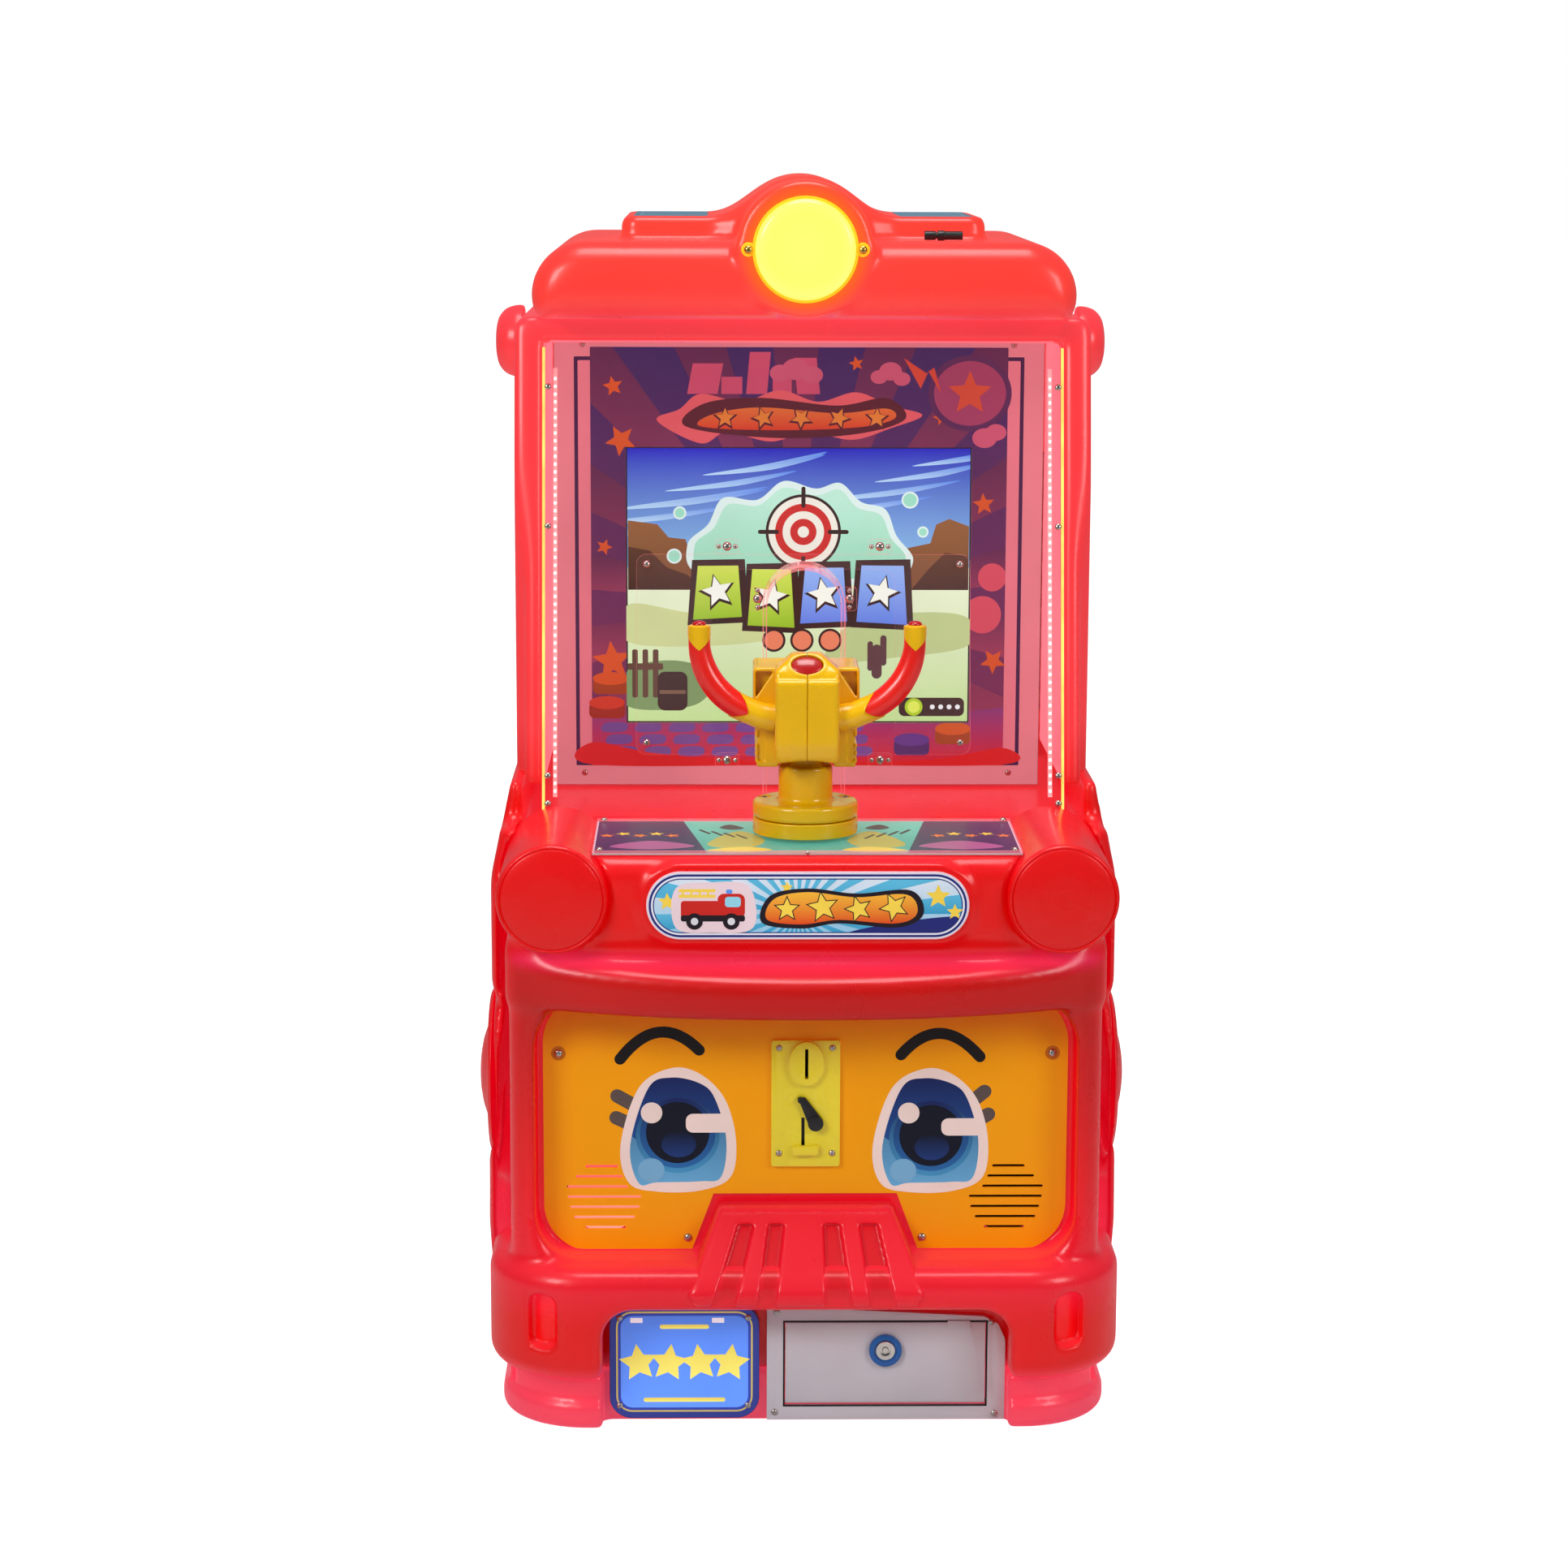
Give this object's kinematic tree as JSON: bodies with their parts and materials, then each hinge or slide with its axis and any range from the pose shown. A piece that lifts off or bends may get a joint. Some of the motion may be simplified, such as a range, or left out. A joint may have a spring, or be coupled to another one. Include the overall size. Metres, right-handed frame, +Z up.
{
  "type": "light gun cabinet",
  "caption": "Children's shooting cabinet shaped like a fire engine: lit display hood, pan and tilt gun on a deck, coin face panel and cash door in the bumper.",
  "frame": {"origin": "on the floor, under the middle of the cabinet's box", "axes": "+Z up, -Y towards the player, +X to the player's right"},
  "size_m": [0.656, 0.74, 1.213],
  "materials": {
    "red_shell": "rotomoulded translucent red polyethylene, lit from inside",
    "yellow_panel": "back-printed acrylic, gloss",
    "yellow_plastic": "moulded ABS, gloss",
    "red_plastic": "moulded, satin",
    "black_plastic": "moulded",
    "printed_plate": "printed film under gloss acrylic",
    "clear_acrylic": "clear polished sheet",
    "lit_screen": "lit flat screen",
    "lamp_glow": "translucent, lit",
    "light_strip": "lit strip",
    "circuit_board": "solder mask",
    "white_steel": "white powder coat",
    "plated_steel": "zinc plated",
    "lock_chrome": "polished",
    "rubber": "matt"
  },
  "bodies": {
    "cabinet": {"art_backdrop": "printed_plate", "base_skirt": "red_shell", "board_tray": "plated_steel", "body_screws": "plated_steel", "cash_box": "white_steel", "cash_door_frame": "white_steel", "coin_bezel": "yellow_plastic", "coin_mech_body": "black_plastic", "deck_art_panel": "printed_plate", "deck_cover": "clear_acrylic", "face_panel": "yellow_panel", "floor_pads": "rubber", "front_window": "clear_acrylic", "gun_base_ring": "yellow_plastic", "gun_guard": "clear_acrylic", "headlight_left": "red_shell", "headlight_right": "red_shell", "io_board": "circuit_board", "lamp_base": "yellow_plastic", "lamp_board": "circuit_board", "lamp_dome": "lamp_glow", "lcd_bracket": "plated_steel", "lcd_panel": "lit_screen", "led_strips": "light_strip", "lower_front_shell": "red_shell", "lower_rear_shell": "red_shell", "marquee_plate": "printed_plate", "number_plate": "printed_plate", "power_inlet": "black_plastic", "power_supply": "plated_steel", "rear_hinge": "plated_steel", "roof_antenna": "black_plastic", "roof_cap": "red_shell", "side_ear_left": "red_shell", "side_ear_right": "red_shell", "speakers": "black_plastic", "upper_shell": "red_shell", "wheel_hub_left": "red_shell", "wheel_hub_right": "red_shell", "window_clips": "clear_acrylic", "window_cover_plate": "clear_acrylic", "window_screws": "plated_steel"},
    "gun_yoke": {"gun_turntable": "yellow_plastic"},
    "gun_head": {"gun_housing": "yellow_plastic", "gun_rear_cover": "yellow_plastic", "gun_barrel": "black_plastic", "gun_tilt_shaft": "plated_steel", "gun_handle_left": "red_plastic", "gun_handle_right": "red_plastic", "handle_sockets": "yellow_plastic", "handle_caps": "yellow_plastic"},
    "gun_button": {"gun_button": "red_plastic"},
    "grip_button_left": {"grip_button_left": "red_plastic"},
    "grip_button_right": {"grip_button_right": "red_plastic"},
    "reject_lever": {"coin_reject_lever": "black_plastic"},
    "cash_door": {"cash_door": "white_steel"},
    "cash_lock": {"cash_lock": "lock_chrome"},
    "rear_door": {"rear_door": "white_steel"},
    "rear_lock": {"rear_lock": "lock_chrome"},
    "power_switch": {"power_switch": "black_plastic"}
  },
  "joints": [
    {"name": "gun_pan", "type": "hinge", "parent": "cabinet", "child": "gun_yoke", "pos_m": [0, -0.225, 0.6], "axis": [0, 0, 1], "range_deg": [-30, 30]},
    {"name": "gun_tilt", "type": "hinge", "parent": "gun_yoke", "child": "gun_head", "pos_m": [0, -0.225, 0.69], "axis": [1, 0, 0], "range_deg": [-12, 12]},
    {"name": "gun_button_press", "type": "slide", "parent": "gun_head", "child": "gun_button", "axis": [0, 0.7547, -0.6561], "range_m": [0, 0.0025], "stiffness_N_per_m": 400},
    {"name": "grip_press_left", "type": "slide", "parent": "gun_head", "child": "grip_button_left", "axis": [0, 0, -1], "range_m": [0, 0.003], "stiffness_N_per_m": 400},
    {"name": "grip_press_right", "type": "slide", "parent": "gun_head", "child": "grip_button_right", "axis": [0, 0, -1], "range_m": [0, 0.003], "stiffness_N_per_m": 400},
    {"name": "reject_turn", "type": "hinge", "parent": "cabinet", "child": "reject_lever", "pos_m": [-0.0048, -0.29, 0.327], "axis": [0, 1, 0], "range_deg": [0, 25], "stiffness_Nm_per_rad": 0.02, "springref_deg": -28.65},
    {"name": "cash_door_drop", "type": "hinge", "parent": "cabinet", "child": "cash_door", "pos_m": [0.079, -0.308, 0.0245], "axis": [1, 0, 0], "range_deg": [0, 90]},
    {"name": "cash_lock_turn", "type": "hinge", "parent": "cash_door", "child": "cash_lock", "pos_m": [0.079, -0.311, 0.078], "axis": [0, 1, 0], "range_deg": [0, 90]},
    {"name": "rear_door_swing", "type": "hinge", "parent": "cabinet", "child": "rear_door", "pos_m": [-0.195, 0.3655, 0.305], "axis": [0, 0, 1], "range_deg": [0, 110]},
    {"name": "rear_lock_turn", "type": "hinge", "parent": "rear_door", "child": "rear_lock", "pos_m": [0.165, 0.366, 0.305], "axis": [0, 1, 0], "range_deg": [0, 90]},
    {"name": "power_rocker", "type": "hinge", "parent": "cabinet", "child": "power_switch", "pos_m": [0.25, 0.36, 0.123], "axis": [1, 0, 0], "range_deg": [0, 16]}
  ]
}
